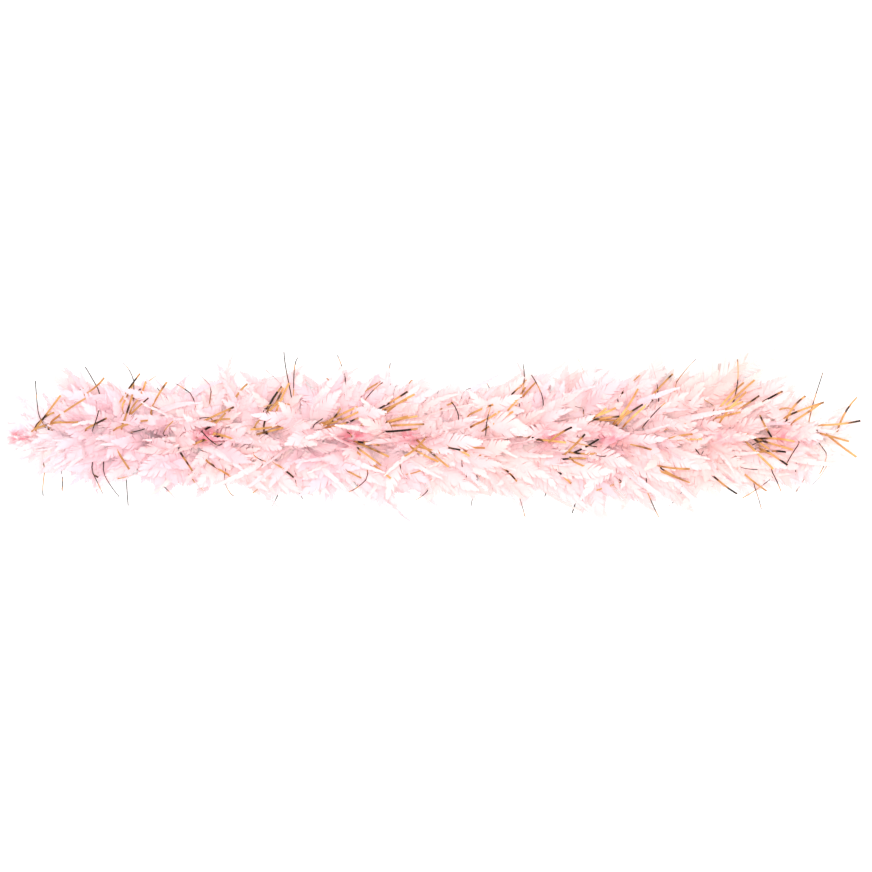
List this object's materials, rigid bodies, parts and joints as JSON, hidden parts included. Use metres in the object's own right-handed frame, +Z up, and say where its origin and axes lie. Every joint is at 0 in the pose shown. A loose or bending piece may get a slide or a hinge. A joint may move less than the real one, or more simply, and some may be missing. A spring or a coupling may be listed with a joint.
{
  "type": "feather boa",
  "caption": "Short full feather boa: a limp twisted cord set all round with soft feathers and metallic tinsel strips, worn draped round the neck.",
  "frame": {"origin": "the middle of the boa's underside, on the surface that it lies on", "axes": "+X along the straightened boa, +Z up from the surface that it lies on, +Y across it"},
  "size_m": [1.2, 0.2306, 0.1577],
  "materials": {
    "feather": "dyed blush-pink feather, soft and matt, paler at the tips",
    "cord": "spun cotton, dyed pink, two plies twisted together",
    "thread": "matt sewing thread",
    "tinsel": "gold metallised polyester film, mirror-like"
  },
  "bodies": {
    "segment_01": {"core_cord_01": "cord", "feather_whorl_01": "feather", "tinsel_spray_01": "tinsel", "end_feathers_left": "feather", "end_knot_left": "thread"},
    "segment_02": {"core_cord_02": "cord", "feather_whorl_02": "feather", "tinsel_spray_02": "tinsel"},
    "segment_03": {"core_cord_03": "cord", "feather_whorl_03": "feather", "tinsel_spray_03": "tinsel"},
    "segment_04": {"core_cord_04": "cord", "feather_whorl_04": "feather", "tinsel_spray_04": "tinsel"},
    "segment_05": {"core_cord_05": "cord", "feather_whorl_05": "feather", "tinsel_spray_05": "tinsel"},
    "segment_06": {"core_cord_06": "cord", "feather_whorl_06": "feather", "tinsel_spray_06": "tinsel"},
    "segment_07": {"core_cord_07": "cord", "feather_whorl_07": "feather", "tinsel_spray_07": "tinsel"},
    "segment_08": {"core_cord_08": "cord", "feather_whorl_08": "feather", "tinsel_spray_08": "tinsel"},
    "segment_09": {"core_cord_09": "cord", "feather_whorl_09": "feather", "tinsel_spray_09": "tinsel"},
    "segment_10": {"core_cord_10": "cord", "feather_whorl_10": "feather", "tinsel_spray_10": "tinsel"},
    "segment_11": {"core_cord_11": "cord", "feather_whorl_11": "feather", "tinsel_spray_11": "tinsel"},
    "segment_12": {"core_cord_12": "cord", "feather_whorl_12": "feather", "tinsel_spray_12": "tinsel"},
    "segment_13": {"core_cord_13": "cord", "feather_whorl_13": "feather", "tinsel_spray_13": "tinsel"},
    "segment_14": {"core_cord_14": "cord", "feather_whorl_14": "feather", "tinsel_spray_14": "tinsel"},
    "segment_15": {"core_cord_15": "cord", "feather_whorl_15": "feather", "tinsel_spray_15": "tinsel"},
    "segment_16": {"core_cord_16": "cord", "feather_whorl_16": "feather", "tinsel_spray_16": "tinsel"},
    "segment_17": {"core_cord_17": "cord", "feather_whorl_17": "feather", "tinsel_spray_17": "tinsel", "end_feathers_right": "feather", "end_knot_right": "thread"}
  },
  "joints": [
    {"name": "bend_01_up", "type": "hinge", "parent": "segment_02", "child": "segment_01", "pos_m": [-0.4875, 0, 0.066], "axis": [0, 1, 0], "range_deg": [0, 35]},
    {"name": "bend_02_side", "type": "hinge", "parent": "segment_03", "child": "segment_02", "pos_m": [-0.4225, 0, 0.066], "axis": [0, 0, 1], "range_deg": [-35, 35]},
    {"name": "bend_03_up", "type": "hinge", "parent": "segment_04", "child": "segment_03", "pos_m": [-0.3575, 0, 0.066], "axis": [0, 1, 0], "range_deg": [0, 35]},
    {"name": "bend_04_side", "type": "hinge", "parent": "segment_05", "child": "segment_04", "pos_m": [-0.2925, 0, 0.066], "axis": [0, 0, 1], "range_deg": [-35, 35]},
    {"name": "bend_05_up", "type": "hinge", "parent": "segment_06", "child": "segment_05", "pos_m": [-0.2275, 0, 0.066], "axis": [0, 1, 0], "range_deg": [0, 35]},
    {"name": "bend_06_side", "type": "hinge", "parent": "segment_07", "child": "segment_06", "pos_m": [-0.1625, 0, 0.066], "axis": [0, 0, 1], "range_deg": [-35, 35]},
    {"name": "bend_07_up", "type": "hinge", "parent": "segment_08", "child": "segment_07", "pos_m": [-0.0975, 0, 0.066], "axis": [0, 1, 0], "range_deg": [0, 35]},
    {"name": "bend_08_side", "type": "hinge", "parent": "segment_09", "child": "segment_08", "pos_m": [-0.0325, 0, 0.066], "axis": [0, 0, 1], "range_deg": [-35, 35]},
    {"name": "bend_09_side", "type": "hinge", "parent": "segment_09", "child": "segment_10", "pos_m": [0.0325, 0, 0.066], "axis": [0, 0, 1], "range_deg": [-35, 35]},
    {"name": "bend_10_up", "type": "hinge", "parent": "segment_10", "child": "segment_11", "pos_m": [0.0975, 0, 0.066], "axis": [0, -1, 0], "range_deg": [0, 35]},
    {"name": "bend_11_side", "type": "hinge", "parent": "segment_11", "child": "segment_12", "pos_m": [0.1625, 0, 0.066], "axis": [0, 0, 1], "range_deg": [-35, 35]},
    {"name": "bend_12_up", "type": "hinge", "parent": "segment_12", "child": "segment_13", "pos_m": [0.2275, 0, 0.066], "axis": [0, -1, 0], "range_deg": [0, 35]},
    {"name": "bend_13_side", "type": "hinge", "parent": "segment_13", "child": "segment_14", "pos_m": [0.2925, 0, 0.066], "axis": [0, 0, 1], "range_deg": [-35, 35]},
    {"name": "bend_14_up", "type": "hinge", "parent": "segment_14", "child": "segment_15", "pos_m": [0.3575, 0, 0.066], "axis": [0, -1, 0], "range_deg": [0, 35]},
    {"name": "bend_15_side", "type": "hinge", "parent": "segment_15", "child": "segment_16", "pos_m": [0.4225, 0, 0.066], "axis": [0, 0, 1], "range_deg": [-35, 35]},
    {"name": "bend_16_up", "type": "hinge", "parent": "segment_16", "child": "segment_17", "pos_m": [0.4875, 0, 0.066], "axis": [0, -1, 0], "range_deg": [0, 35]}
  ]
}
